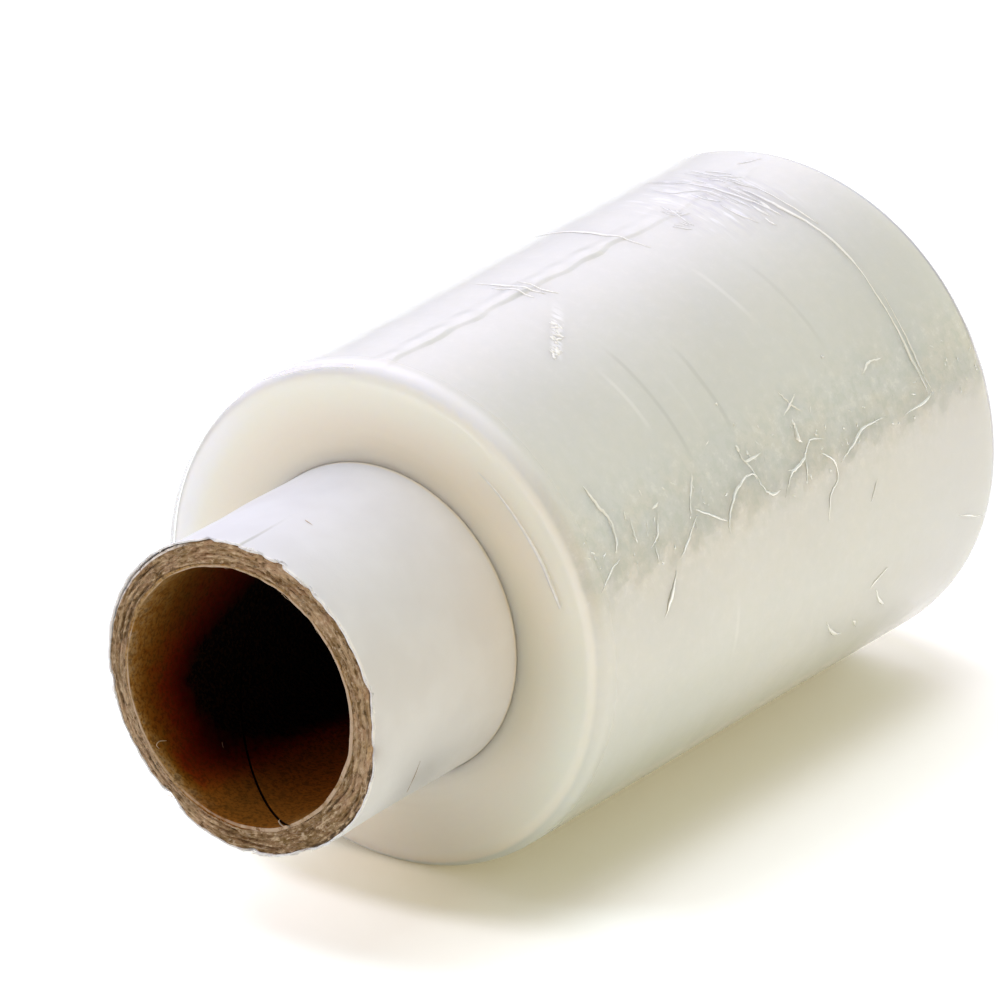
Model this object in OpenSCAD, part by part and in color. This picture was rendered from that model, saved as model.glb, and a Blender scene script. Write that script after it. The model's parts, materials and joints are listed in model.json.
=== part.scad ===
// A hand roll of stretch wrap: clear film wound on a long paper core that
// sticks out at one end as a handle. The roll lies on its side.
// Length runs along Y with the handle's mouth at -Y, and the floor is at Z = 0.

/* [Film] */
// Width of the film, along the roll
film_width = 100; // [60:1:150]
// Outer radius of the wound film
film_radius = 38; // [32:0.5:60]
// Rounding where the turns go over from each end to the outside
shoulder = 2.6; // [1:0.1:5]
// Width of the flat that the soft film has pressed on itself by lying down
flat_width = 12; // [6:0.5:20]

/* [Turns at the ends] */
// Groups of turns that show as rings on each end
turn_groups = 9; // [4:1:16]
// How far the most displaced group stands behind the others
group_drop = 0.24; // [0.1:0.02:0.6]
// How far in from the film's outside the turn lies that has slipped out of the near end
slipped_depth = 6.2; // [3:0.2:8]
// Thickness of the slipped turn
slipped_wall = 0.3; // [0.2:0.05:0.6]
// How far the slipped turn stands out
slipped_height = 0.45; // [0.2:0.05:1.2]
// Where the slipped turn starts, in degrees from the top
slipped_from = 30; // [0:1:60]
// How far round the slipped turn shows, in degrees
slipped_sweep = 44; // [10:1:120]

/* [Free end of the film] */
// Radius of the rolled edge where the film ends
tail_radius = 0.7; // [0.4:0.05:1.5]
// How much of that edge stands above the film
tail_height = 0.45; // [0.2:0.05:0.6]
// Where the edge lies at the roll's middle, in degrees from the top
tail_angle = -2.5; // [-30:1:30]
// How much the edge runs out of line with the roll, in degrees
tail_skew = 0.5; // [0:0.1:3]

/* [Creases and lip] */
// Width of a crease in the film
crease_width = 0.5; // [0.3:0.05:1]
// How far a crease stands out of the film
crease_height = 0.12; // [0.05:0.01:0.2]
// Thickness of the clear lip, where the outermost turn runs past the near shoulder
lip_wall = 0.2; // [0.1:0.05:0.4]
// Where the lip starts, in degrees from the top
lip_from = -112; // [-180:1:0]
// How far round the lip runs, in degrees
lip_sweep = 104; // [20:1:170]

/* [Core] */
// Radius of the hole through the core
bore_radius = 19.4; // [15:0.1:26]
// Thickness of the inner liner paper
liner_wall = 0.5; // [0.3:0.05:1]
// Thickness of the brown board
board_wall = 3.2; // [2:0.1:5]
// Thickness of the white cover paper
cover_wall = 0.3; // [0.2:0.05:0.6]
// Length of the handle that sticks out of the film
handle_length = 33.5; // [15:0.5:60]
// How far the core stands out at the other end
far_length = 2; // [0.5:0.5:20]

/* [Cut ends of the core] */
// Plies that can be told apart in the cut board
board_plies = 4; // [2:1:6]
// Width of the gap between two plies at the cut
ply_gap = 0.22; // [0.1:0.02:0.4]
// Depth of that gap
ply_gap_depth = 0.5; // [0.2:0.1:1.5]
// Depth of the largest tear in the cover's edge at the mouth
tear_depth = 1.6; // [0.6:0.1:3]

/* [Hidden] */
$fn = 96;
arc_steps = 6;
// Angles and relative sizes of the tears, in degrees from the top
tears = [[-14, 0.6], [9, 0.45], [31, 0.4], [97, 1], [152, 0.5], [214, 0.55], [262, 0.4]];
// Creases round the film: place as a share of its width, start and sweep in degrees from the top
creases = [[0.845, 4, 64], [0.6, -26, 32], [0.36, -15, 18], [0.415, 31, 26], [0.315, 24, 33],
           [0.095, 48, 17], [0.6, 68, 15], [0.43, 57, 12]];
// A cut runs this far past what it cuts
over = 1;

board_inner = bore_radius + liner_wall;
board_outer = board_inner + board_wall;
core_radius = board_outer + cover_wall;
core_length = handle_length + film_width + far_length;
mouth_y = -core_length / 2;
near_y = mouth_y + handle_length;
// The film rests on its flat, so the axis is a little lower than the radius
axis_z = sqrt(pow(film_radius, 2) - pow(flat_width / 2, 2));

// Puts a shape drawn along Z on the roll's axis, with its own Z = 0 at the given Y
module on_axis(y) {
    translate([0, y, axis_z]) rotate([-90, 0, 0]) children();
}

// Turns a shape drawn along +X so that it points w degrees from the top, towards +X
module at_angle(w) {
    rotate([0, 0, w - 90]) children();
}

module tube(inner, outer, length) {
    rotate_extrude() translate([inner, 0]) square([outer - inner, length]);
}

// The thin gaps that open between the plies where a core is cut
module ply_gaps(inner, outer, count, end_z) {
    pitch = (outer - inner) / count;
    for (i = [1 : count - 1])
        translate([0, 0, end_z - ply_gap_depth])
            tube(inner + i * pitch - ply_gap / 2, inner + i * pitch + ply_gap / 2, 2 * ply_gap_depth);
}

module core_liner() {
    color("burlywood") on_axis(mouth_y) tube(bore_radius, board_inner, core_length);
}

module core_board() {
    color("saddlebrown") on_axis(mouth_y) difference() {
        tube(board_inner, board_outer, core_length);
        ply_gaps(board_inner, board_outer, board_plies, 0);
        ply_gaps(board_inner, board_outer, board_plies, core_length);
    }
}

// One ragged bite out of the cover's edge
module tear(w, size) {
    depth = tear_depth * size;
    at_angle(w) translate([board_outer - over, 0, 0]) rotate([0, 90, 0])
        linear_extrude(cover_wall + 2 * over)
            polygon([[over, -1.6 * depth], [0, -1.5 * depth], [-0.6 * depth, -0.7 * depth],
                     [-depth, 0.1 * depth], [-0.4 * depth, 0.9 * depth], [over, 1.5 * depth]]);
}

module cover_paper() {
    color("white") on_axis(mouth_y) difference() {
        tube(board_outer, core_radius, core_length);
        for (t = tears) tear(t[0], t[1]);
    }
}

// How far group i of the turns stands behind the end's plane
function drop(i) = group_drop * (0.5 + 0.5 * sin(137 * i));

// The end's outline from the core out to the shoulder, as steps of turns
function end_steps(flip) = let (pitch = (film_radius - shoulder - core_radius) / turn_groups)
    [for (i = [0 : turn_groups - 1], side = [0, 1])
        [core_radius + (i + side) * pitch, flip ? film_width - drop(i) : drop(i)]];

function shoulder_arc(flip) = [for (k = [0 : arc_steps])
    let (a = 90 * k / arc_steps, z = shoulder * (1 - cos(a)))
        [film_radius - shoulder * (1 - sin(a)), flip ? film_width - z : z]];

function reversed(list) = [for (i = [len(list) - 1 : -1 : 0]) list[i]];

module wound_film() {
    rotate_extrude()
        polygon(concat(end_steps(false), shoulder_arc(false),
                       reversed(shoulder_arc(true)), reversed(end_steps(true))));
}

// The turn that has slid out of the near end, round part of the circle
module slipped_turn() {
    root = 2 * group_drop;
    at_angle(slipped_from)
        rotate_extrude(angle = slipped_sweep)
            translate([film_radius - slipped_depth, -slipped_height])
                square([slipped_wall, slipped_height + root]);
}

// The film's free end, gathered into a thin roll that lies along the outside
module tail_edge() {
    inset = 1.3 * shoulder;
    at_angle(tail_angle)
        translate([film_radius + tail_height - tail_radius, 0, film_width / 2])
            rotate([-tail_skew, 0, 0])
                cylinder(r = tail_radius, h = film_width - 2 * inset, center = true);
}

// A fine fold in the outermost turn, round part of the roll
module crease(along, from, sweep) {
    translate([0, 0, along]) at_angle(from)
        rotate_extrude(angle = sweep)
            translate([film_radius + crease_height - crease_width / 2, 0]) circle(d = crease_width);
}

// The outermost turn where it isn't drawn in over the near shoulder
module near_lip() {
    drawn_in = 0.25 * shoulder;
    at_angle(lip_from)
        rotate_extrude(angle = lip_sweep)
            polygon([[film_radius - drawn_in - lip_wall, 0], [film_radius - drawn_in, 0],
                     [film_radius, shoulder], [film_radius, 1.2 * shoulder],
                     [film_radius - lip_wall, 1.2 * shoulder], [film_radius - lip_wall, shoulder]]);
}

module film_roll() {
    color("ivory") difference() {
        on_axis(near_y) {
            wound_film();
            slipped_turn();
            tail_edge();
            for (c = creases) crease(c[0] * film_width, c[1], c[2]);
            near_lip();
        }
        translate([-film_radius, near_y - over, -film_radius])
            cube([2 * film_radius, film_width + 2 * over, film_radius]);
    }
}

core_liner();
core_board();
cover_paper();
film_roll();
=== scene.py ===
# %% [markdown]
# A hand roll of stretch wrap: a hundred and fifty metres of clear film, wound on a long paper core that sticks out at
# one end as a handle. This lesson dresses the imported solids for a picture. The solids fix every size, so the first
# step loads them and keeps the box they fill. All later pieces take their radii and ends from that frame.

# %% Load the solids
import json
import math
import random

import bpy
import numpy as np
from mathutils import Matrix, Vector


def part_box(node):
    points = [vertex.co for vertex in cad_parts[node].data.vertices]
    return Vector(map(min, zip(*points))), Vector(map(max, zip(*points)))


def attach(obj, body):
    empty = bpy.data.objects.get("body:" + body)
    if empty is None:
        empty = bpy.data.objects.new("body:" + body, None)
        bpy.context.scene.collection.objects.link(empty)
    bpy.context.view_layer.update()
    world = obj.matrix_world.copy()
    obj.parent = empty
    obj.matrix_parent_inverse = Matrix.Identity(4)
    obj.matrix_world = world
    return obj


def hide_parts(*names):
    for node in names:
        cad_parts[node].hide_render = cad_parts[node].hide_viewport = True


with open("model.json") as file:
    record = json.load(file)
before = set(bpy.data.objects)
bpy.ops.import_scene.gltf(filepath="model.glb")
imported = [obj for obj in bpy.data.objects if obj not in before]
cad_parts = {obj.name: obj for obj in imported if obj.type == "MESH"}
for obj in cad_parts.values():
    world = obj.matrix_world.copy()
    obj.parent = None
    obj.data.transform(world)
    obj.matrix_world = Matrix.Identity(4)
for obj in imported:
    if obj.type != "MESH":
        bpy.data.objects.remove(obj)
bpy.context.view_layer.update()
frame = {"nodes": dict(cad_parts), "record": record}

MM = 0.001
DEG = math.pi / 180
mount = {m["name"]: m for m in frame["record"]["mounts"]}
print("nodes:", sorted(frame["nodes"]))

# %% [markdown]
# The roll lies along Y. A place on it is easiest to say as three numbers: the angle round the roll from the top
# towards +X, the distance along Y, and the radius. The radii and ends come from the boxes of the solids, and the
# height of the axis comes from the bore's own mount.

# %% Read the sizes from the frame
AXIS_Z = mount["core_bore"]["pos_m"][2]
BORE_R = mount["core_bore"]["dims"]["r_mm"] * MM
SLIP_OUT = 0.45 * MM
film_low, film_high = (np.array(c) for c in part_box("film_roll"))
board_low, board_high = (np.array(c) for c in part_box("core_board"))
FILM_R = float(film_high[0])
NEAR_Y = float(film_low[1]) + SLIP_OUT
FAR_Y = float(film_high[1])
MOUTH_Y = float(board_low[1])
END_Y = float(board_high[1])
BOARD_R = float(board_high[0])
LINER_R = float(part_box("core_liner")[1][0])
COVER_R = float(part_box("cover_paper")[1][0])
print("radii mm:", [round(r / MM, 2) for r in (BORE_R, LINER_R, BOARD_R, COVER_R, FILM_R)])
print("ends mm:", [round(y / MM, 2) for y in (MOUTH_Y, NEAR_Y, FAR_Y, END_Y)])


def on_roll(angle, along, radius):
    """Turns angles in radians, places along Y and radii into points."""
    angle, along, radius = np.broadcast_arrays(angle, along, radius)
    return np.stack([radius * np.sin(angle), along, AXIS_Z + radius * np.cos(angle)], -1)


# %% [markdown]
# Film and paper are never quite even. A sum of a few waves with random phases gives a smooth unevenness that joins up
# with itself all the way round the roll. The phases come from a seeded generator, so that each run is the same.

# %% Smooth unevenness
def unevenness(angle, along, seed, waves=6, around=(1, 6), length=(30, 90)):
    """A smooth field between about -1 and 1. around is the range of waves in a turn, length that of waves in mm."""
    rng = random.Random(seed)
    total = 0.0
    for _ in range(waves):
        turns = rng.randint(*around)
        pitch = rng.uniform(*length) * MM
        lean = rng.choice((-1, 1))
        phase = rng.uniform(0, 2 * math.pi)
        total = total + np.sin(turns * angle + lean * 2 * math.pi * along / pitch + phase)
    return total / math.sqrt(waves)


def bell(x, width):
    return np.exp(-((x / width) ** 2))


print("unevenness at one place:", round(float(unevenness(1.0, 0.01, 3)), 3))

# %% [markdown]
# Everything here is a body of revolution with a hole, so one helper can make them all: a closed outline that is
# carried round the axis, which gives a closed skin with no loose edges. Each ring may lean with its place along the
# roll, so that the columns of the mesh follow a slanting edge, and each point may be pushed off the outline.

# %% Meshes from rings
def add_object(name, points, faces, smooth=True):
    mesh = bpy.data.meshes.new(name)
    mesh.from_pydata(points.tolist() if hasattr(points, "tolist") else points, [], faces)
    mesh.polygons.foreach_set("use_smooth", [smooth] * len(mesh.polygons))
    mesh.update()
    obj = bpy.data.objects.new(name, mesh)
    bpy.context.scene.collection.objects.link(obj)
    return obj


def ring_faces(columns, rows):
    """The quads of a skin that closes on itself both ways."""
    i, j = np.meshgrid(np.arange(columns), np.arange(rows), indexing="ij")
    here, up = i * rows + j, i * rows + (j + 1) % rows
    i = (i + 1) % columns
    across, corner = i * rows + j, i * rows + (j + 1) % rows
    return np.stack([here, across, corner, up], -1).reshape(-1, 4).tolist()


def run(start, end, step):
    """Points of an outline from start up to, but without, end."""
    start, end = np.array(start, float), np.array(end, float)
    count = max(1, round(float(np.linalg.norm(end - start)) / step))
    return start + (end - start) * (np.arange(count) / count)[:, None]


def quarter(centre, radius, start, count):
    """Part of an outline: a quarter circle from the angle start, in degrees, where 0 is outwards and 90 is +Y."""
    turn = (start + 90 * np.arange(count) / count) * DEG
    return np.stack([centre[0] + radius * np.cos(turn), centre[1] + radius * np.sin(turn)], -1)


def crowded_angles(count, crowd, reach):
    """Angles round the circle from a centre at 0, with crowd more of them packed within reach on each side."""
    wide = np.linspace(reach, 2 * math.pi - reach, count, endpoint=False)
    return np.concatenate([np.linspace(-reach, reach, crowd, endpoint=False), wide])


print("a four by three skin has", len(ring_faces(4, 3)), "faces")

# %% [markdown]
# The film comes first. Its ends are hundreds of cut edges, pressed into a smooth face. Its outside is one clear turn
# over all the others, slightly loose, so it shows long soft waves. At each end the turns go over in a rounded
# shoulder. The free end of the film is gathered into a thin rolled edge that lies along the top, a little askew:
# the ring columns lean with it, so that this edge stays sharp and straight in the mesh.

# %% The film's outline and relief
FILM_COLUMNS = 330
TAIL_COLUMNS = 70
SHOULDER = 2.6 * MM
EDGE_SOFT = 0.15 * MM
TAIL_ANGLE = -2.5 * DEG
TAIL_SKEW = math.tan(0.5 * DEG) / FILM_R
TAIL_HALF = 1.3 * MM
TAIL_HEIGHT = 0.30 * MM
MIDDLE_Y = (NEAR_Y + FAR_Y) / 2


def film_outline():
    inner = COVER_R
    flank = FILM_R - SHOULDER
    near_hole = quarter((inner + EDGE_SOFT, NEAR_Y + EDGE_SOFT), EDGE_SOFT, 180, 4)
    near_face = run((inner + EDGE_SOFT, NEAR_Y), (flank, NEAR_Y), 0.5 * MM)
    near_turn = quarter((flank, NEAR_Y + SHOULDER), SHOULDER, 270, 10)
    outside = run((FILM_R, NEAR_Y + SHOULDER), (FILM_R, FAR_Y - SHOULDER), 0.56 * MM)
    far_turn = quarter((flank, FAR_Y - SHOULDER), SHOULDER, 0, 9)
    far_face = run((flank, FAR_Y), (inner + EDGE_SOFT, FAR_Y), 0.8 * MM)
    far_hole = quarter((inner + EDGE_SOFT, FAR_Y - EDGE_SOFT), EDGE_SOFT, 90, 3)
    bore = run((inner, FAR_Y - EDGE_SOFT), (inner, NEAR_Y + EDGE_SOFT), 30 * MM)
    return np.concatenate([near_hole, near_face, near_turn, outside, far_turn, far_face, far_hole, bore])


def tail_angle(along):
    return TAIL_ANGLE + TAIL_SKEW * (along - MIDDLE_Y)


# Faint lines round the roll: height in mm, mm from the near end, then from and to in degrees
FAINT = ((0.065, 27.0, 26, 48), (0.075, 31.5, 22, 58), (0.020, 36.5, 32, 54), (0.075, 42, 30, 57),
         (0.055, 59.5, 15, 38), (0.040, 9, 45, 55), (0.040, 33.5, 86, 105), (0.045, 68, 20, 50))


def film_relief(angle, along):
    """How far the film's outside stands above its true cylinder, in metres."""
    soft = 0.11 * unevenness(angle, along, seed=11, around=(2, 5), length=(90, 260))
    hoops = 0.014 * unevenness(angle, along, seed=12, waves=9, around=(0, 1), length=(5, 16))
    turn = (np.remainder(angle + math.pi, 2 * math.pi) - math.pi) / DEG
    worn = 0.040 * unevenness(angle, along, seed=15, waves=16, around=(16, 60), length=(4, 14)) * bell(turn - 69, 11)
    faint = 0.0
    for height, place, start, end in FAINT:
        drift = place * MM + 0.3 * MM * np.sin(0.11 * turn + place)
        reach = np.clip((turn - start) / 8, 0, 1) * np.clip((end - turn) / 8, 0, 1)
        faint = faint + height * bell(along - NEAR_Y - drift, 0.55 * MM) * reach
    ragged = 0.42 * MM * unevenness(0 * along, along, seed=13, waves=11, around=(0, 0), length=(3, 24))
    past = (np.remainder(angle - tail_angle(along) + math.pi, 2 * math.pi) - math.pi) * FILM_R
    rise = np.clip(0.5 + (past + TAIL_HALF - 0.4 * ragged) / (2.6 * MM), 0, 1)
    fall = np.clip(0.5 - (past - TAIL_HALF + ragged) / (1.15 * MM), 0, 1)
    uneven = 1 + 0.40 * unevenness(0 * along, along, seed=14, waves=8, around=(0, 0), length=(5, 30))
    strength = 1 - 0.6 * np.clip((along - NEAR_Y - 58 * MM) / (14 * MM), 0, 1)
    ends = np.clip((along - NEAR_Y) / (4 * MM), 0, 1) * np.clip((FAR_Y - along) / (12 * MM), 0, 1)
    tail = TAIL_HEIGHT * rise ** 2 * (3 - 2 * rise) * fall ** 2 * (3 - 2 * fall) * uneven * strength
    return (soft + hoops + worn + faint - 0.14) * MM + tail * ends


print("outline points:", len(film_outline()))

# %% [markdown]
# The relief is added along the outline's own outward direction: radially outside, along Y on the two faces. The
# underside keeps its flat: no point goes below the floor. Last, the groups of turns at the ends stand in and out by a
# tenth of a millimetre or so, as rings.

# %% Build the film
def face_rings(radius, angle, seed):
    """How far the turns of an end stand out, in metres, by radius."""
    rng = random.Random(seed)
    depth = 0.0
    for _ in range(7):
        pitch = rng.uniform(0.9, 5.0) * MM
        depth = depth + rng.uniform(0.4, 1.0) * np.sin(2 * math.pi * radius / pitch + rng.uniform(0, 6) + 0.4 * angle)
    return 0.018 * MM * depth


def make_film():
    path = film_outline()
    ahead, behind = np.roll(path, -1, 0), np.roll(path, 1, 0)
    run_dir = (ahead - behind) / np.linalg.norm(ahead - behind, axis=1)[:, None]
    out_r, out_y = run_dir[:, 1], -run_dir[:, 0]
    around = crowded_angles(FILM_COLUMNS, TAIL_COLUMNS, 5 * DEG)[:, None]
    radius, along = path[None, :, 0], path[None, :, 1]
    angle = around + tail_angle(along)
    outside = np.clip(out_r, 0, 1)[None]
    faces = np.abs(out_y)[None] * (radius > COVER_R + EDGE_SOFT)
    push_r = film_relief(angle, along) * outside
    push_y = out_y[None] * face_rings(radius, angle, 21) * faces
    points = on_roll(angle, along + push_y, radius + push_r)
    points = np.clip(points, film_low, film_high)
    points = points.reshape(-1, 3)
    return add_object("film_body", points, ring_faces(len(around), len(path)))


film_body = make_film()
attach(film_body, "root")
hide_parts("film_roll")
print("film_body faces:", len(film_body.data.polygons))

# %% [markdown]
# Where clear film is pulled over an uneven roll it folds into fine sharp creases. Each is a real little fold that
# catches the light, so each is geometry: a thin lens-shaped welt that lies half in the film, tapers at its ends and
# follows a few points on the roll. The points are (angle in degrees, millimetres from the near end). The creases in
# the list are the ones that can be picked out. Small ones between them are scattered by a seeded generator.

# %% Creases one by one
CREASES = (
    # width, height, points: the group near the handle
    (0.50, 0.17, (49, 8.5), (54, 9), (58, 10), (62, 9.5), (65, 8.5)),
    (0.32, 0.10, (58, 13.5), (60, 13)),
    (0.40, 0.14, (60, 14), (63.5, 13.5), (65.5, 13.5)),
    (0.30, 0.09, (60, 21), (60.5, 19)),
    (0.30, 0.09, (61.5, 20), (66, 18), (68, 16)),
    (0.28, 0.09, (68, 17), (72, 16.5)),
    (0.36, 0.11, (58, 30), (62.5, 27.5), (66.5, 26)),
    (0.32, 0.10, (65, 27.5), (68, 30.5), (71, 33.5)),
    (0.34, 0.11, (66.5, 27.5), (70.5, 24), (73, 21.5)),
    (0.62, 0.20, (75, 20), (79.5, 18), (83.5, 16)),
    (0.26, 0.08, (71, 3), (68, 6), (66.5, 9)),
    # the group at mid length
    (0.36, 0.12, (74, 33.5), (71, 34), (67, 36.5), (64.5, 40), (65, 42.5), (68, 43)),
    (0.32, 0.10, (60.5, 41), (63, 42), (66, 42.5)),
    (0.52, 0.16, (57.5, 41), (59, 41)),
    (0.34, 0.10, (59, 41), (61.5, 41.5), (61.5, 45.5)),
    (0.34, 0.10, (67.5, 43), (70.5, 44.5), (71, 47)),
    (0.62, 0.20, (59.5, 54.5), (62.5, 54), (64, 54.5)),
    (0.36, 0.12, (73, 47.5), (69, 50), (67.5, 53.5), (64.5, 56), (65.5, 59)),
    (0.28, 0.08, (68, 54), (72.5, 53)),
    (0.34, 0.11, (68, 57.5), (71, 60), (75, 60), (78, 57.5), (83, 56.5)),
    (0.26, 0.07, (52, 54.5), (55.5, 55.5), (58, 57)),
    (0.24, 0.07, (54, 57.5), (55.5, 55.5), (57, 53)),
    # the group near the far end
    (0.36, 0.12, (72, 61.5), (70.5, 64.5), (68, 68), (68, 74)),
    (0.32, 0.10, (70, 78), (69.5, 84), (68.5, 85.5)),
    (0.30, 0.09, (57.5, 72.5), (56, 75), (56.5, 78)),
    (0.26, 0.08, (80, 69), (84, 67)),
    (0.38, 0.12, (103, 72.5), (106.5, 69)),
    (0.38, 0.12, (108, 71), (112, 73), (116, 76)),
    (0.40, 0.13, (109.5, 59), (113, 61), (116, 63.5), (117, 65.5)),
    (0.30, 0.09, (114, 67), (118.5, 70)),
    (0.24, 0.06, (100, 90), (104, 97)),
    # bright dots and ticks
    (0.40, 0.14, (47.5, 41.6), (48.1, 41.6)),
    (0.46, 0.16, (59.7, 42.6), (60.5, 42.5)),
    (0.40, 0.14, (53.1, 42.8), (53.8, 42.7)),
    (0.44, 0.15, (49.7, 66.7), (50.3, 66.6)),
    (0.44, 0.15, (55.4, 55.4), (56.1, 55.4)),
    (0.50, 0.18, (58.6, 54.4), (60.5, 54.2)),
    # a long hoop, faint in the middle, and a finer one beside it, from the top down to the mid side
    (0.56, 0.14, (2, 85), (14, 84.6), (26, 85.3), (38, 85)),
    (0.34, 0.09, (4, 86.9), (13, 86.3), (23, 86.2)),
    (0.24, 0.05, (34, 85.2), (42, 84.5), (52, 84)),
    (0.42, 0.13, (47, 84.2), (54, 84), (61, 84), (69, 85)),
    (0.26, 0.08, (44, 85.5), (55, 85), (63, 85), (69, 86)),
    # along the top, across the rolled edge
    (0.50, 0.08, (-26, 60), (-17, 60), (-7, 59.5), (-1, 59.5), (6, 59.5)),
    (0.48, 0.07, (-15, 36), (-5, 36), (3, 36.5)),
    (0.40, 0.06, (-9, 34.5), (-1, 34.5), (2.5, 34.5)),
    (0.38, 0.06, (-6, 38), (1, 37.5), (5, 38)),
    (0.46, 0.08, (-20, 83), (-4, 82.5), (4, 82.5), (16, 83)),
    (0.34, 0.05, (-9, 78), (-2, 81), (7, 80.5)),
    (0.34, 0.05, (-2, 86), (6, 86.5)),
    (0.30, 0.04, (-6, 92.5), (-3, 96)),
    (0.34, 0.05, (-3, 72.5), (5, 70)),
    (0.34, 0.05, (-14, 88), (-6, 87), (0, 88)),
)
print("creases placed by hand:", len(CREASES))

# %% [markdown]
# A welt is swept along its points. A smooth curve goes through the points, the section is a flat ellipse of eight
# corners, and its size rises from nothing at one end and falls to nothing at the other.

# %% Sweep a welt along the film
def smooth_path(points, per_span):
    """A Catmull-Rom curve through rows of numbers."""
    pts = np.array(points, float)
    pts = np.concatenate([2 * pts[:1] - pts[1:2], pts, 2 * pts[-1:] - pts[-2:-1]])
    out = []
    for a, b, c, d in zip(pts, pts[1:], pts[2:], pts[3:]):
        for t in np.arange(per_span) / per_span:
            out.append(0.5 * (2 * b + (c - a) * t + (2 * a - 5 * b + 4 * c - d) * t * t
                              + (3 * b - a - 3 * c + d) * t ** 3))
    return np.array(out + [pts[-2]])


def sweep(centre, normal, half_width, half_height, sides=8):
    """A closed tube of elliptic section. Returns its points and faces."""
    along = np.gradient(centre, axis=0)
    along /= np.linalg.norm(along, axis=1)[:, None]
    side = np.cross(along, normal)
    side /= np.linalg.norm(side, axis=1)[:, None]
    turn = 2 * math.pi * np.arange(sides) / sides
    ring = (np.cos(turn)[None, :, None] * (side * half_width[:, None])[:, None]
            + np.sin(turn)[None, :, None] * (normal * half_height[:, None])[:, None])
    points = (centre[:, None] + ring).reshape(-1, 3)
    faces = [tuple(range(sides))[::-1]]
    for i in range(len(centre) - 1):
        for j in range(sides):
            k = (j + 1) % sides
            faces.append((i * sides + j, i * sides + k, (i + 1) * sides + k, (i + 1) * sides + j))
    faces.append(tuple((len(centre) - 1) * sides + j for j in range(sides)))
    return points, faces


def gather(parts):
    """Joins many (points, faces) into one."""
    points, faces, base = [], [], 0
    for p, f in parts:
        points.append(p)
        faces += [tuple(v + base for v in face) for face in f]
        base += len(p)
    return np.concatenate(points), faces


def welt(width, height, points, wobble, seed):
    rng = random.Random(seed)
    path = smooth_path(points, 7)
    path[:, 0] = path[:, 0] * DEG
    path[:, 1] = NEAR_Y + path[:, 1] * MM
    shake = np.array([[rng.gauss(0, 1), rng.gauss(0, 1)] for _ in path]) * wobble * MM
    path[:, 0] += shake[:, 0] / FILM_R
    path[:, 1] += shake[:, 1]
    t = np.linspace(0, 1, len(path))
    size = np.clip(np.sin(math.pi * t), 0.05, 1) ** 0.6 * (1 + 0.25 * np.sin(9 * t + seed))
    half_height = 0.55 * height * MM * size + 0.02 * MM
    radius = FILM_R + film_relief(path[:, 0], path[:, 1]) + 0.35 * half_height
    centre = on_roll(path[:, 0], path[:, 1], radius)
    normal = on_roll(path[:, 0], 0 * path[:, 0], 1.0) - np.array([0, 0, AXIS_Z])
    return sweep(centre, normal, 0.65 * width * MM * size, half_height)


welts = [welt(c[0], c[1], c[2:], 0.05, i) for i, c in enumerate(CREASES)]
print("points in the first welt:", len(welts[0][0]))

# %% [markdown]
# Between the long creases the film is crazed with short ones: thickest in a belt along the side where the roll was
# handled, in one small crumpled patch near the top, and where the free edge ends. They point mostly round the roll,
# as wrinkles in a wound film do. Each group is strewn along a line by a seeded generator.

# %% Scatter the short creases
BELT = dict(count=80, start=(64, 3), end=(66, 97), spread=3.2, length=(0.3, 1.3), size=(0.12, 0.24), lean=1.8)
CRUMPLE = dict(count=30, start=(11, 32), end=(20, 24), spread=0.4, length=(0.4, 1.6), size=(0.18, 0.38), lean=1.2,
               crowd=0.6, rise=0.08)
UPPER = dict(count=26, start=(-14, 84), end=(12, 83), spread=2.4, length=(2.0, 7.0), size=(0.16, 0.34), lean=0.2,
             rise=0.12)
HOOK = dict(count=10, start=(-4, 73), end=(4, 69), spread=1.2, length=(1.0, 3.4), size=(0.16, 0.32), lean=0.9,
            rise=0.12)


def scatter(seed, count, start, end, spread, length, size, lean, crowd=1.0, rise=0.22):
    rng = random.Random(seed)
    parts = []
    for k in range(count):
        t = rng.random() ** crowd
        middle = start[0] + (end[0] - start[0]) * t + rng.gauss(0, spread) * MM / FILM_R / DEG
        place = start[1] + (end[1] - start[1]) * t + rng.gauss(0, spread)
        place = min(max(place, 3.0), 97.0)
        reach = rng.uniform(*length)
        tilt = rng.gauss(0, lean) * 0.5
        step_angle = reach * math.cos(tilt) / 2 * MM / FILM_R / DEG
        step_along = reach * math.sin(tilt) / 2
        bend = rng.uniform(-0.1, 0.1) * reach
        width = rng.uniform(*size)
        points = ((middle - step_angle, place - step_along), (middle, place + bend),
                  (middle + step_angle, place + step_along))
        parts.append(welt(width, rise * width, points, 0.02, seed + k))
    return parts


welts += scatter(100, **BELT) + scatter(300, **CRUMPLE) + scatter(400, **UPPER) + scatter(500, **HOOK)
film_creases = add_object("film_creases", *gather(welts))
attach(film_creases, "root")
print("film_creases faces:", len(film_creases.data.polygons))

# %% [markdown]
# Two thin things stand out of the film's near end. One turn has slipped and shows as a fine bright arc on the face.
# And on the left the outermost turn runs past the shoulder as a clear lip, with a corner where it has been bent over.
# Both are thin walls: a strip with an inner and an outer side.

# %% The slipped turn and the clear lip
SLIPPED_START, SLIPPED_SWEEP = 31, 42
SLIPPED_R = 31.6
LIP_START, LIP_SWEEP = -112, 104
LIP_CORNER = 0.74
LIP_WALL = 0.10 * MM


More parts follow.
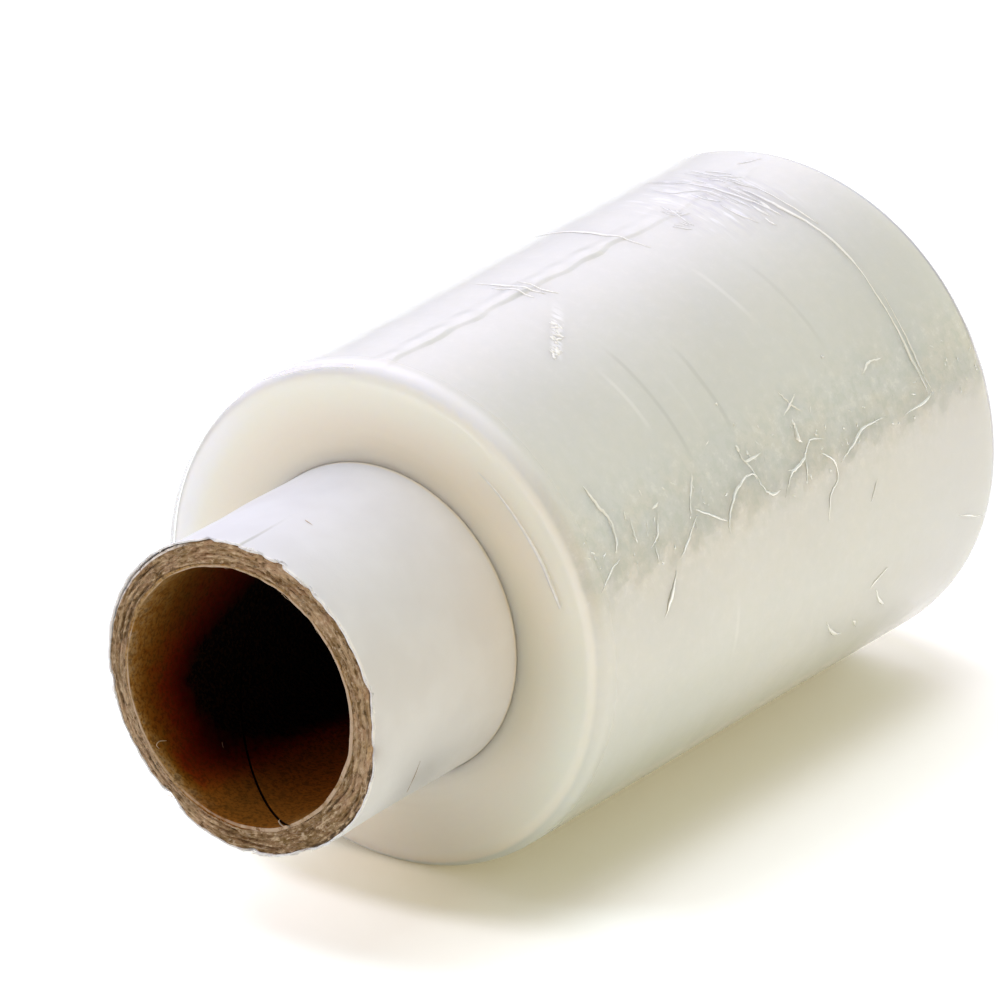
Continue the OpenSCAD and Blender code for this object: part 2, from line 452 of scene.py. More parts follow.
def wall_strip(angles, sides):
    """A closed strip along part of a circle. Each of its four sides is a radius and a place along the roll."""
    corners = [on_roll(angles, y, r) for r, y in sides]
    points = np.stack(corners, 1).reshape(-1, 3)
    faces = [(0, 1, 2, 3)]
    for i in range(len(angles) - 1):
        for j in range(4):
            k = (j + 1) % 4
            faces.append((4 * i + j, 4 * (i + 1) + j, 4 * (i + 1) + k, 4 * i + k))
    last = 4 * (len(angles) - 1)
    faces.append((last + 3, last + 2, last + 1, last))
    return points, faces


def slipped_turn():
    t = np.linspace(0, 1, 90)
    angles = (SLIPPED_START + SLIPPED_SWEEP * t) * DEG
    radius = (SLIPPED_R + 0.6 * t ** 3 + 0.05 * np.sin(11 * t)) * MM
    height = SLIP_OUT * (0.25 + 0.75 * t) * np.clip(6 * (1 - t), 0, 1) * np.clip(9 * t, 0, 1)
    outer, base = radius + (0.16 + 0.30 * t) * MM, NEAR_Y + 0.3 * MM + 0 * t
    # Its top slopes outwards, towards the light
    return wall_strip(angles, [(radius, NEAR_Y - height), (outer, NEAR_Y - 0.25 * height), (outer, base),
                               (radius, base)])


def clear_lip():
    t = np.linspace(0, 1, 160)
    angles = (LIP_START + LIP_SWEEP * t) * DEG
    ends = np.clip(8 * t, 0, 1) * np.clip(8 * (1 - t), 0, 1)
    drawn_in = (0.62 - 0.12 * np.sin(7 * t) - 0.55 * bell(t - LIP_CORNER, 0.05)) * MM
    reach = (0.05 + 0.10 * bell(t - LIP_CORNER, 0.06) - 0.5 * (1 - ends)) * MM
    edge, root, base = FILM_R - drawn_in, FILM_R - 0.5 * drawn_in, NEAR_Y + 1.1 * MM + 0 * t
    return wall_strip(angles, [(edge - LIP_WALL, NEAR_Y - reach), (edge, NEAR_Y - reach), (root, base),
                               (root - LIP_WALL, base)])


slipped = add_object("slipped_turn", *slipped_turn())
lip = add_object("film_lip", *clear_lip(), smooth=False)
for piece in (slipped, lip):
    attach(piece, "root")
print("strips:", len(slipped.data.polygons), len(lip.data.polygons))

# %% [markdown]
# The core is a spiral-wound paper tube. Its mouth was cut with a saw, and the cut shows everything: the plies of the
# brown board, parted here and there, a pale liner inside and a torn white cover outside. The mouth has also been
# knocked out of round. One function gives this bending of the mouth to all three layers, so that they stay together.
# A list of tears is shared too: where the cover is torn back, the board below has lost a little of its corner.

# %% The mouth's bent shape
MOUTH_FADE = 9 * MM
PLY_EDGES = (19.9, 20.55, 21.3, 22.2, 23.1)
# Places where the outer corner is knocked in: angle in degrees, depth in mm, width in degrees
CRUSHES = ((95, 1.0, 3.5), (88, 0.4, 7), (33, 0.25, 5), (-12, 0.2, 6), (152, 0.3, 5), (214, 0.25, 7))


def mouth_bend(angle, along, share):
    """How far the mouth is bent outwards, in metres. share goes from 0 at the bore to 1 at the outside."""
    near = np.exp(-((along - MOUTH_Y) / MOUTH_FADE) ** 2)
    turn = np.remainder(angle / DEG, 360)
    outer = (0.45 * bell(turn - 122, 26) - 1.0 * bell(turn - 228, 30) - 0.3 * bell(turn - 270, 34)
             - 0.2 * bell(turn, 30))
    inner = -0.75 * bell(turn - 128, 36) + 0.35 * bell(turn - 300, 30) + 0.25 * bell(turn - 200, 22)
    lip = np.exp(-((along - MOUTH_Y) / (1.4 * MM)) ** 2)
    crush = sum(depth * bell(turn - place, width) for place, depth, width in CRUSHES)
    return ((inner + (outer - inner) * share) * near - crush * share ** 2 * lip) * MM


# Places where the cover is torn back: angle in degrees, depth in mm, width in degrees
TEARS = ((-14, 0.7, 5), (9, 0.5, 4), (17, 0.9, 3), (31, 0.45, 4), (74, 0.4, 5), (95, 0.9, 6), (152, 0.5, 6),
         (176, 0.8, 5), (214, 0.9, 8), (262, 0.4, 6), (310, 0.3, 5))


def cover_edge(angle):
    """How far the cover's edge is drawn back from the mouth, in metres."""
    turn = np.remainder(angle / DEG, 360)
    back = 0.10 + 0.07 * unevenness(angle, 0, seed=81, around=(6, 60), waves=14)
    for place, depth, width in TEARS:
        away = np.remainder(turn - place + 180, 360) - 180
        back = back + depth * bell(away, width * 0.5)
    return np.maximum(back, 0) * MM


for turn in (120, 228, 300):
    print("bend at", turn, [round(float(mouth_bend(turn * DEG, MOUTH_Y, s)) / MM, 2) for s in (0, 1)])

# %% [markdown]
# The board's cut face is modelled: fine steps across the plies, grooves of uneven depth between them, and torn edges.
# Random numbers smoothed only a little along the ring, and hardly at all across it, give the fibrous look of cut
# board, because its fibres lie along the plies.

# %% Build the board
BOARD_COLUMNS = 1080
CUT_ROWS = 26


def fibre_noise(columns, rows, seed, reach):
    """Random rows, each smoothed round the ring over reach columns, with unit spread."""
    field = np.random.default_rng(seed).normal(size=(columns, rows))
    kernel = np.exp(-(np.minimum(np.arange(columns), columns - np.arange(columns)) / reach) ** 2)
    smooth = np.real(np.fft.ifft(np.fft.fft(field, axis=0) * np.fft.fft(kernel)[:, None], axis=0))
    return smooth / smooth.std()


def make_board():
    path = np.concatenate([
        run((LINER_R, MOUTH_Y), (BOARD_R, MOUTH_Y), (BOARD_R - LINER_R) / CUT_ROWS),
        run((BOARD_R, MOUTH_Y), (BOARD_R, MOUTH_Y + 1.2 * MM), 0.3 * MM),
        run((BOARD_R, MOUTH_Y + 1.2 * MM), (BOARD_R, NEAR_Y), 3 * MM),
        run((BOARD_R, NEAR_Y), (BOARD_R, END_Y), 60 * MM),
        run((BOARD_R, END_Y), (LINER_R, END_Y), (BOARD_R - LINER_R) / 12),
        run((LINER_R, END_Y), (LINER_R, NEAR_Y), 60 * MM),
        run((LINER_R, NEAR_Y), (LINER_R, MOUTH_Y + 1.2 * MM), 3 * MM),
        run((LINER_R, MOUTH_Y + 1.2 * MM), (LINER_R, MOUTH_Y), 0.3 * MM),
    ])
    angle = 2 * math.pi * np.arange(BOARD_COLUMNS)[:, None] / BOARD_COLUMNS
    radius, along = path[None, :, 0], path[None, :, 1]
    share = (radius - BORE_R) / (COVER_R - BORE_R)
    coarse, fine = (fibre_noise(BOARD_COLUMNS, len(path), seed, reach) for seed, reach in ((31, 6), (32, 1.5)))
    rough = 0.6 * coarse + 0.5 * fine
    # Grooves between the plies
    plies = 0.0
    for k, edge in enumerate(PLY_EDGES[1:-1]):
        wander = edge * MM + 0.12 * MM * unevenness(angle, 0, seed=40 + k, around=(2, 19))
        parted = np.clip(0.45 + 0.9 * unevenness(angle, 0, seed=50 + k, around=(1, 13)), 0.05, 1.5)
        plies = plies + parted * bell(radius - wander, 0.15 * MM)
    # Steps from ply to ply
    steps = 0.0
    for k, edge in enumerate(PLY_EDGES[:-1]):
        lift = unevenness(angle, 0, seed=60 + k, waves=8, around=(1, 26))
        steps = steps + lift * ((radius >= edge * MM) & (radius < PLY_EDGES[k + 1] * MM))
    # Small chips out of the cut
    rng = random.Random(66)
    chips = 0.0
    for _ in range(46):
        at, out = rng.uniform(0, 2 * math.pi), rng.uniform(LINER_R, BOARD_R)
        size = rng.uniform(0.15, 0.5) * MM
        gone = np.remainder(angle - at + math.pi, 2 * math.pi) - math.pi
        chips = chips + rng.uniform(0.3, 1.0) * bell(gone * out, 2.2 * size) * bell(radius - out, size)
    bites = 1.1 * cover_edge(angle) / MM * np.clip((radius - BOARD_R + 0.9 * MM) / (0.9 * MM), 0, 1) ** 2
    rim = np.exp(-((along - MOUTH_Y) / (0.35 * MM)) ** 2) + np.exp(-((along - END_Y) / (0.35 * MM)) ** 2)
    inward = np.where(along < 0, 1, -1)
    depth = (0.10 * rough + 0.55 * plies + 0.12 * steps + 0.35 * chips + bites * (along < 0) + 0.15) * MM * rim
    ragged = 0.05 * MM * rough * rim
    pushed = along + inward * np.maximum(depth, 0)
    # The walls start where the cut has ended, so that a deep bite doesn't fold the corner over
    corner, hole = CUT_ROWS, 0
    for wall, start in ((radius == BOARD_R, pushed[:, corner]), (radius == LINER_R, pushed[:, hole])):
        near = wall & (along > MOUTH_Y) & (along < MOUTH_Y + 8 * MM)
        pushed = np.where(near, np.maximum(along, start[:, None] + 0.02 * (along - MOUTH_Y)), pushed)
    points = on_roll(angle, pushed, radius + ragged + mouth_bend(angle, pushed, share))
    return add_object("board_tube", points.reshape(-1, 3), ring_faces(BOARD_COLUMNS, len(path)))


board_tube = make_board()
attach(board_tube, "root")
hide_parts("core_board")
print("board_tube faces:", len(board_tube.data.polygons))

# %% [markdown]
# The liner is one strip of paper wound as a spiral, and its edges meet in a butt seam that shows as a dark line
# winding up the bore. The ring columns lean with the seam, so that a groove of a third of a millimetre stays clean.
# The columns are crowded at the seam and wide elsewhere.

# %% Build the liner
SEAM_LEAD = 95 * MM
SEAM_AT_MOUTH = -206 * DEG
SEAM_HALF = 0.22 * MM


def make_liner():
    path = np.concatenate([
        run((BORE_R, END_Y), (BORE_R, MOUTH_Y + 60 * MM), 3 * MM),
        run((BORE_R, MOUTH_Y + 60 * MM), (BORE_R, MOUTH_Y), 0.8 * MM),
        run((BORE_R, MOUTH_Y), (LINER_R, MOUTH_Y), 0.1 * MM),
        run((LINER_R, MOUTH_Y), (LINER_R, END_Y), 3 * MM),
        run((LINER_R, END_Y), (BORE_R, END_Y), 0.2 * MM),
    ])
    offset = crowded_angles(560, 25, 2.4 * DEG)[:, None]
    radius, along = path[None, :, 0], path[None, :, 1]
    angle = offset + SEAM_AT_MOUTH + 2 * math.pi * (along - MOUTH_Y) / SEAM_LEAD
    share = (radius - BORE_R) / (COVER_R - BORE_R)
    inside = radius < BORE_R + 0.05 * MM
    past_seam = (np.remainder(offset + math.pi, 2 * math.pi) - math.pi) * BORE_R
    groove = 0.40 * MM * bell(past_seam, SEAM_HALF) * inside
    scallop = 0.06 * MM * unevenness(angle, 0, seed=71, around=(7, 26)) * np.exp(-(along - MOUTH_Y) / (3 * MM))
    sway = 0.08 * MM * unevenness(angle, along, seed=72, around=(1, 4), length=(40, 90)) * inside
    rim = np.exp(-((along - MOUTH_Y) / (0.4 * MM)) ** 2)
    edge = 0.10 * MM * unevenness(angle, 0, seed=73, around=(5, 40), waves=12) * rim
    points = on_roll(angle, along + np.abs(edge), radius + groove + scallop + sway + mouth_bend(angle, along, share))
    return add_object("liner_tube", points.reshape(-1, 3), ring_faces(len(offset), len(path)))


liner_tube = make_liner()
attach(liner_tube, "root")
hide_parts("core_liner")
print("liner_tube faces:", len(liner_tube.data.polygons))

# %% [markdown]
# The cover is thin white paper, glued on. Along the cut it is frayed and torn: each tear pulls its edge back from the
# mouth. On the upper left it has come loose and stands a little away from the board.

# %% Build the cover
COVER_COLUMNS = 900


def make_cover():
    path = np.concatenate([
        run((BOARD_R, MOUTH_Y), (COVER_R, MOUTH_Y), 0.1 * MM),
        run((COVER_R, MOUTH_Y), (COVER_R, MOUTH_Y + 3 * MM), 0.25 * MM),
        run((COVER_R, MOUTH_Y + 3 * MM), (COVER_R, NEAR_Y), 1.3 * MM),
        run((COVER_R, NEAR_Y), (COVER_R, END_Y), 50 * MM),
        run((COVER_R, END_Y), (BOARD_R, END_Y), 0.2 * MM),
        run((BOARD_R, END_Y), (BOARD_R, MOUTH_Y + 3 * MM), 50 * MM),
        run((BOARD_R, MOUTH_Y + 3 * MM), (BOARD_R, MOUTH_Y), 0.5 * MM),
    ])
    angle = 2 * math.pi * np.arange(COVER_COLUMNS)[:, None] / COVER_COLUMNS
    radius, along = path[None, :, 0], path[None, :, 1]
    handle = along < NEAR_Y
    drawn = cover_edge(angle) * np.clip(1 - (along - MOUTH_Y) / (3 * MM), 0, 1)
    turn = np.remainder(angle / DEG, 360)
    loose = 0.42 * MM * bell(turn - 308, 34) * np.exp(-((along - MOUTH_Y) / (2.5 * MM)) ** 2)
    at_cut = np.exp(-(along - MOUTH_Y) / (0.8 * MM))
    fray = 0.05 * MM * unevenness(angle, 0, seed=82, around=(9, 60), waves=12) * at_cut
    outside = radius > COVER_R - 0.02 * MM
    dents = 0.035 * MM * unevenness(angle, along, seed=83, waves=9, around=(2, 7), length=(12, 40)) * outside * handle
    bend = mouth_bend(angle, along + drawn, 1.0)
    points = on_roll(angle, along + drawn, radius + loose + fray + dents - 0.04 * MM * outside + bend)
    return add_object("cover_sheet", points.reshape(-1, 3), ring_faces(COVER_COLUMNS, len(path)))


cover_sheet = make_cover()
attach(cover_sheet, "root")
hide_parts("cover_paper")
print("cover_sheet faces:", len(cover_sheet.data.polygons))

# %% [markdown]
# Torn paper ends in wisps. Those of the cover lie along its edge, and half of them are at the tears. Each is a
# hair-thin bent tube that is swept along four points, as the welts of the film are. Hair particles would be quicker
# to make, but they aren't part of an exported mesh. The next cell uses the same helper for the fibres of the board.

# %% Wisps of the torn cover
def hair(points, thickness):
    path = smooth_path(points, 5)
    up = np.cross(np.gradient(path, axis=0), (0.3, 0.2, 0.93))
    up /= np.linalg.norm(up, axis=1)[:, None] + 1e-9
    t = np.linspace(0, 1, len(path))
    half = 0.5 * thickness * MM * (0.35 + 0.65 * np.sin(math.pi * np.clip(t + 0.1, 0, 1)))
    return sweep(path, up, half, half, sides=5)


def torn_wisps(count, seed):
    """Wisps of the white cover along its torn edge, half of them at the tears."""
    rng = random.Random(seed)
    parts = []
    for k in range(count):
        turn = rng.uniform(-40, 178)
        if k % 2:
            turn = rng.choice(TEARS)[0] + rng.gauss(0, 4)
        angle = turn * DEG
        back = float(cover_edge(angle)) + rng.uniform(-0.05, 0.30) * MM
        radius = COVER_R + float(mouth_bend(angle, MOUTH_Y, 1.0))
        reach = rng.uniform(0.4, 1.5) * MM
        lift = rng.uniform(-0.10, 0.22) * MM
        slope = rng.gauss(0, 0.22) * MM
        points = []
        for j in range(4):
            t = j / 3
            points.append(on_roll(angle + (t - 0.5) * reach / radius,
                                  MOUTH_Y + max(back + (t - 0.5) * slope, 0.06 * MM),
                                  radius + lift * math.sin(math.pi * t)))
        parts.append(hair(points, rng.uniform(0.07, 0.20)))
    return parts


cover_wisps = add_object("cover_wisps", *gather(torn_wisps(150, 95)))
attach(cover_wisps, "root")
print("cover_wisps faces:", len(cover_wisps.data.polygons))

# %% [markdown]
# A saw leaves fuzz. Short fibres stand off the cut of the board, and a few stray ones lie in the bore and on the
# handle. The short ones are strewn over the cut, half of them where two papers meet. The strays are placed one by
# one.

# %% Fibres on the cut
def cut_fibres(count, seed):
    rng = random.Random(seed)
    parts = []
    for _ in range(count):
        angle = rng.uniform(0, 2 * math.pi)
        share = rng.choice((rng.uniform(0, 1), rng.choice((0.14, 0.3, 0.5, 0.72, 0.93))))
        radius = BORE_R + share * (COVER_R - BORE_R) + float(mouth_bend(angle, MOUTH_Y, share))
        reach = rng.uniform(0.5, 1.9) * MM
        lean = rng.gauss(0, 0.35)
        points = []
        for k in range(4):
            t = k / 3
            curl = rng.gauss(0, 0.09) * MM
            back = max(0.30 * MM - 0.25 * MM * math.sin(math.pi * t) + curl, 0.06 * MM)
            points.append(on_roll(angle + (t - 0.5) * reach / radius, MOUTH_Y + back,
                                  radius + lean * t * reach * 0.5 + curl))
        parts.append(hair(points, rng.uniform(0.03, 0.075)))
    return parts


STRAYS = (
    # thickness, then (angle, mm from the mouth, radius in mm)
    (0.16, (-127.4, 3.0, 19.1), (-126.2, 1.5, 18.9), (-127, 0.5, 18.8), (-129, 0.6, 18.8)),
    (0.22, (167, 3.4, 19.1), (163, 1.6, 18.8), (158, 0.2, 19.0), (155, 0.15, 19.4)),
    (0.10, (-139.4, 12.4, 19.2), (-140.6, 12.0, 19.1), (-142, 11.8, 19.2)),
    (0.09, (129, 14.4, 23.5), (117.5, 12.8, 23.5), (110.5, 12.5, 23.5)),
    (0.11, (5.5, 12.5, 23.45), (7.5, 12.2, 23.5), (9.5, 12.1, 23.45)),
)


fibres = cut_fibres(340, 91)
for thickness, *points in STRAYS:
    fibres.append(hair([on_roll(a * DEG, MOUTH_Y + y * MM, r * MM) for a, y, r in points], thickness))
rim_fibres = add_object("rim_fibres", *gather(fibres))
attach(rim_fibres, "root")
print("rim_fibres faces:", len(rim_fibres.data.polygons))

# %% [markdown]
# Now the finishes. Shader maths reads best as ordinary sums, so one small class wraps a socket and adds the Math
# nodes, and one bench makes every other node from its type, its settings and the values or links of its sockets.

# %% A bench for shader nodes
class Wire:
    """A number that changes over a surface."""

    def __init__(self, bench, socket):
        self.bench = bench
        self.socket = socket

    def math(self, operation, *others):
        node = self.bench.tree.nodes.new("ShaderNodeMath")
        node.operation = operation
        for socket, value in zip(node.inputs, (self, *others)):
            self.bench.feed(socket, value)
        return Wire(self.bench, node.outputs[0])

    def __add__(self, other):
        return self.math("ADD", other)

    __radd__ = __add__

    def __mul__(self, other):
        return self.math("MULTIPLY", other)

    __rmul__ = __mul__

    def __sub__(self, other):
        return self.math("SUBTRACT", other)

    def __rsub__(self, other):
        return (self * -1) + other

    def __truediv__(self, other):
        return self.math("DIVIDE", other)

    def between(self, low, high):
        """0 at low, 1 at high and smooth between. low may be above high."""
        return self.bench.node("ShaderNodeMapRange", {"interpolation_type": "SMOOTHSTEP"},
                               {"Value": self, "From Min": low, "From Max": high}, out="Result")


class Bench:
    """Makes the nodes of one material, or of the world."""

    def __init__(self, name, kind="materials"):
        self.material = getattr(bpy.data, kind).new(name)
        self.material.use_nodes = True
        self.tree = self.material.node_tree
        self.tree.nodes.clear()

    def feed(self, socket, value):
        if isinstance(value, Wire):
            self.tree.links.new(value.socket, socket)
        elif isinstance(value, (tuple, list)) and socket.type == "RGBA":
            socket.default_value = (*value, 1.0)[:4]
        else:
            socket.default_value = value

    def node(self, kind, settings=None, values=None, out=0):
        node = self.tree.nodes.new(kind)
        for key, value in (settings or {}).items():
            if key == "stops":
                self.set_stops(node, value)
            else:
                setattr(node, key, value)
        for key, value in (values or {}).items():
            socket = next(s for s in node.inputs if s.enabled and key in (s.name, s.identifier))
            self.feed(socket, value)
        return Wire(self, node.outputs[out]) if node.outputs else None

    @staticmethod
    def set_stops(node, stops):
        ramp = node.color_ramp.elements
        while len(ramp) < len(stops):
            ramp.new(1.0)
        for element, (place, colour) in zip(ramp, stops):
            element.position = place
            element.color = (*colour, 1.0)[:4]

    def blend(self, share, a, b):
        """Mixes two colours."""
        return self.node("ShaderNodeMix", {"data_type": "RGBA"}, {"Factor_Float": share, "A_Color": a, "B_Color": b},
                         out=2)

    def noise(self, vector, scale, detail=3.0, rough=0.5, flat=False):
        """Noise in space or, flat, over the first two numbers of the vector, which is quicker to render."""
        return self.node("ShaderNodeTexNoise", {"noise_dimensions": "2D" if flat else "3D"},
                         {"Vector": vector, "Scale": scale, "Detail": detail, "Roughness": rough}, out="Fac")

    def vector(self, x, y, z):
        return self.node("ShaderNodeCombineXYZ", None, {"X": x, "Y": y, "Z": z})

    def roll_place(self):
        """The angle round the roll, the place along it, the radius, and the place in space."""
        place = self.node("ShaderNodeTexCoord", out="Object")
        parts = self.tree.nodes.new("ShaderNodeSeparateXYZ")
        self.tree.links.new(place.socket, parts.inputs[0])
        x, y, z = (Wire(self, s) for s in parts.outputs)
        z = z - AXIS_Z
        radius = (x * x + z * z).math("SQRT")
        return x.math("ARCTAN2", z), y, radius, place

    def bump(self, height, distance):
        return self.node("ShaderNodeBump", None, {"Height": height, "Distance": distance, "Strength": 1.0})

    def finish(self, values):
        """Ends the material in a Principled shader with these socket values."""
        shader = self.node("ShaderNodeBsdfPrincipled", None, values)
        self.node("ShaderNodeOutputMaterial", None, {"Surface": shader})
        return self.material


print("bench ready")

# %% [markdown]
# Stretch film is clear, but many turns of it together look milky and slightly warm. At the two ends one looks at cut
# edges, which are duller than the outside and more golden towards the core. Below, a warmer tone is painted on them
# for the light that comes up from the table, and on the left a cooler rim is painted for the light from the room.

# %% The film's cut ends
FACE = (0.955, 0.905, 0.783)
FACE_AT_CORE = (0.87, 0.78, 0.58)
FACE_PAINTED_WARM_LIGHT = (1.0, 0.84, 0.685)
FACE_RIM_PAINTED_COOL_LIGHT = (0.93, 0.93, 0.97)


def face_colour(bench, angle, radius):
    face = bench.blend(radius.between(COVER_R, FILM_R * 0.93), FACE_AT_CORE, FACE)
    # Painted warm light from the table on the lower part of the face
    face = bench.blend(angle.math("ABSOLUTE").between(2.0, 2.7) * 0.8, face, FACE_PAINTED_WARM_LIGHT)
    # Painted cool light from the room on the left rim of the face
    left = (angle + 1.5).math("ABSOLUTE").between(0.9, 0.5) * radius.between(FILM_R - 6 * MM, FILM_R - 3 * MM)
    return bench.blend(left * 0.45, face, FACE_RIM_PAINTED_COOL_LIGHT)


print("face colours:", FACE_AT_CORE, FACE)

# %% [markdown]
# The outside is crazed where hands have held the roll: a belt along the side is mottled in three tones, and its
# dark green tone is partly a painted reflection of the dim room. Above it lie faint lines, where the film was
# stretched unevenly. They are the same lines that stand up a little in the mesh, and every second one is dark. Near
# the far end, on top, the film has soft pleats, with painted shade and highlights. Nearer by is one crumpled white
# spot.
# All of this could be painted on an image, but as sums on the roll's own angle and length it stays sharp at any size.

# %% The marks on the film's outside
OUTSIDE = (0.716, 0.716, 0.670)
BELT_WARM = (0.735, 0.712, 0.630)
BELT_DARK_AND_PAINTED_REFLECTION = (0.60, 0.63, 0.555)
BELT_PALE = (0.87, 0.86, 0.80)
LINES = ((0.88, 0.87, 0.82), (0.56, 0.56, 0.51))
PLEAT_PAINTED_SHADE = (0.56, 0.56, 0.60)
PLEAT_PAINTED_HIGHLIGHT = (0.93, 0.93, 0.96)
CRUMPLED = (0.97, 0.965, 0.95)


def crazed(bench, skin, sheet, belt):
    patches = bench.noise(sheet, 110.0, 2.0, flat=True)
    mottle = bench.noise(sheet, 520.0, 3.0, 0.7, flat=True)
    skin = bench.blend(patches.between(0.44, 0.60) * belt * 0.7, skin, BELT_WARM)
    # The dark green mottle is partly a painted reflection of the dim room
    skin = bench.blend(mottle.between(0.50, 0.38) * belt * 0.40, skin, BELT_DARK_AND_PAINTED_REFLECTION)
    return bench.blend(mottle.between(0.56, 0.68) * belt * 0.40, skin, BELT_PALE)


def faintly_lined(bench, skin, angle, along):
    for number, (height, middle, start, end) in enumerate(FAINT):
        line = (along - (NEAR_Y + middle * MM)).math("ABSOLUTE").between(0.60 * MM, 0.15 * MM)
        reach = angle.between(start * DEG, (start + 8) * DEG) * angle.between(end * DEG, (end - 8) * DEG)
        skin = bench.blend(line * reach * (height * 6.0), skin, LINES[number % 2])
    return skin


def pleated(bench, skin, pleats, top):
    # Painted shade and painted highlight of the pleats, over their bump
    skin = bench.blend(pleats.between(0.50, 0.36) * top * 0.55, skin, PLEAT_PAINTED_SHADE)
    return bench.blend(pleats.between(0.53, 0.66) * top * 0.70, skin, PLEAT_PAINTED_HIGHLIGHT)


def crumpled(bench, skin, around, along):
    """One spot, 35 to 24 mm from the near end, that runs down the roll as it comes nearer."""
    down = ((NEAR_Y + 35 * MM) - along) / (11 * MM)
    beside = (around - (down * 12.0 + 8.0) * (DEG * FILM_R)).math("ABSOLUTE")
    spot = beside.between(1.5 * MM, 0.3 * MM) * down.between(-0.15, 0.6) * down.between(1.12, 0.95)
    creased = bench.noise(bench.vector(around * 420.0, along * 1500.0, 0.0), 1.0, 2.0, 0.6, flat=True)
    return bench.blend(spot * creased.between(0.38, 0.52) * 0.85, skin, CRUMPLED)


print("faint lines:", len(FAINT))

# %% [markdown]
# Last come painted light and shade: a greener painted shade low down near the handle, painted cooler light low down
# towards the far end, painted shade at the far rim, where the turns below end, and painted light on the near
# shoulder.

# %% Painted light and shade on the film's outside
BELOW_PAINTED_SHADE = (0.57, 0.60, 0.53)
FAR_LOW_PAINTED_COOL_LIGHT = (0.735, 0.735, 0.755)
FAR_RIM_PAINTED_SHADE = (0.48, 0.475, 0.52)
SHOULDER_SIDE_PAINTED_LIGHT = (0.86, 0.86, 0.82)
SHOULDER_CROWN_PAINTED_LIGHT = (0.90, 0.90, 0.90)


def painted_light_and_shade(bench, skin, angle, along):
    # Painted greener shade low down near the handle
    below = angle.between(1.65, 2.0) * along.between(NEAR_Y + 50 * MM, NEAR_Y + 20 * MM)
    skin = bench.blend(below * 0.5, skin, BELOW_PAINTED_SHADE)
    # Painted cooler light low down towards the far end
    beyond = angle.between(1.1, 1.4) * along.between(NEAR_Y + 66 * MM, NEAR_Y + 94 * MM)
    skin = bench.blend(beyond * 0.5, skin, FAR_LOW_PAINTED_COOL_LIGHT)
    # Painted shade at the far rim
    rim = along.between(FAR_Y - 2.4 * MM, FAR_Y - 1.6 * MM)
    skin = bench.blend(rim * 0.80, skin, FAR_RIM_PAINTED_SHADE)
    # Painted light on the side and the crown of the near shoulder
    bend = along.between(NEAR_Y + 3.4 * MM, NEAR_Y + 1.8 * MM) * angle.between(0.6, 0.9)
    skin = bench.blend(bend * 0.08, skin, SHOULDER_SIDE_PAINTED_LIGHT)
    crown = along.between(NEAR_Y + 3.6 * MM, NEAR_Y + 1.4 * MM) * (angle + 0.1).math("ABSOLUTE").between(1.0, 0.5)
    return bench.blend(crown * 0.75, skin, SHOULDER_CROWN_PAINTED_LIGHT)


print("far rim from mm:", round((FAR_Y - 2.4 * MM) / MM, 1))

# %% [markdown]
# Light goes into the roll, wanders through the turns and comes out somewhere else. That is subsurface scattering,
# with a skin as glossy as glass. A clear solid would look like a block of glass, and real turns by the hundred would
# be far too many faces. A fine bump breaks up what the skin reflects, most of all in the belt.

# %% The film's finish
FILM_DEPTH = 0.006


def film_finish(name):
    bench = Bench(name)
    angle, along, radius, place = bench.roll_place()
    around = angle * FILM_R
    sheet = bench.vector(around, along, 0.0)
    normal = bench.node("ShaderNodeNewGeometry", out="Normal")
    endwise = bench.node("ShaderNodeSeparateXYZ", None, {"Vector": normal}, out="Y")
    facing = endwise.math("ABSOLUTE").between(0.70, 0.99)
    cloud = bench.noise(place, 45.0, 2.0)
    belt = (1 - ((angle - 1.12) / 0.30).math("ABSOLUTE").between(0.2, 1.0)) * 0.8 + 0.2
    top = along.between(NEAR_Y + 66 * MM, NEAR_Y + 77 * MM) * along.between(NEAR_Y + 91 * MM, NEAR_Y + 86 * MM)
    top = top * angle.math("ABSOLUTE").between(0.36, 0.14)
    pleats = bench.noise(bench.vector(around * 130.0, (along + around * 0.2) * 720.0, 0.0), 1.0, 2.0, 0.6)
    skin = bench.blend(cloud.between(0.35, 0.7), OUTSIDE, tuple(0.965 * c for c in OUTSIDE))
    skin = crazed(bench, skin, sheet, belt)
    skin = faintly_lined(bench, skin, angle, along + (cloud - 0.5) * (1.6 * MM))
    skin = pleated(bench, skin, pleats, top)
    skin = crumpled(bench, skin, around, along)
    skin = painted_light_and_shade(bench, skin, angle, along)
    crazing = bench.noise(sheet, 1500.0, 2.0, 0.6, flat=True)
    ripples = bench.noise(bench.vector(around * 260.0, along * 900.0, 0.0), 1.0, 1.0, flat=True)
    height = (crazing * 0.45 + ripples * 0.6) * belt * (1 - facing) + pleats * top * 2.4
    shoulder = along.between(NEAR_Y + 8 * MM, NEAR_Y + 2.5 * MM)
    rough = 0.07 + cloud * 0.06 + facing * 0.30 + shoulder * (1 - facing) * 0.20
    return bench.finish({
        "Base Color": bench.blend(facing, skin, face_colour(bench, angle, radius)),
        "Roughness": rough, "IOR": 1.8, "Specular IOR Level": 0.75,
        "Subsurface Weight": 1.0, "Subsurface Radius": (1.0, 0.95, 0.8), "Subsurface Scale": FILM_DEPTH,
        "Normal": bench.bump(height, 0.06 * MM),
    })


film_body.data.materials.append(film_finish("stretch_film"))
print("film scatters over mm:", FILM_DEPTH / MM)

# %% [markdown]
# A fold in clear film looks white on top, and where it stands on the side of the roll it mirrors the table, so it is
# given some metallic shine there. The slipped turn has hardly any of that, and the clear lip is half see-through.

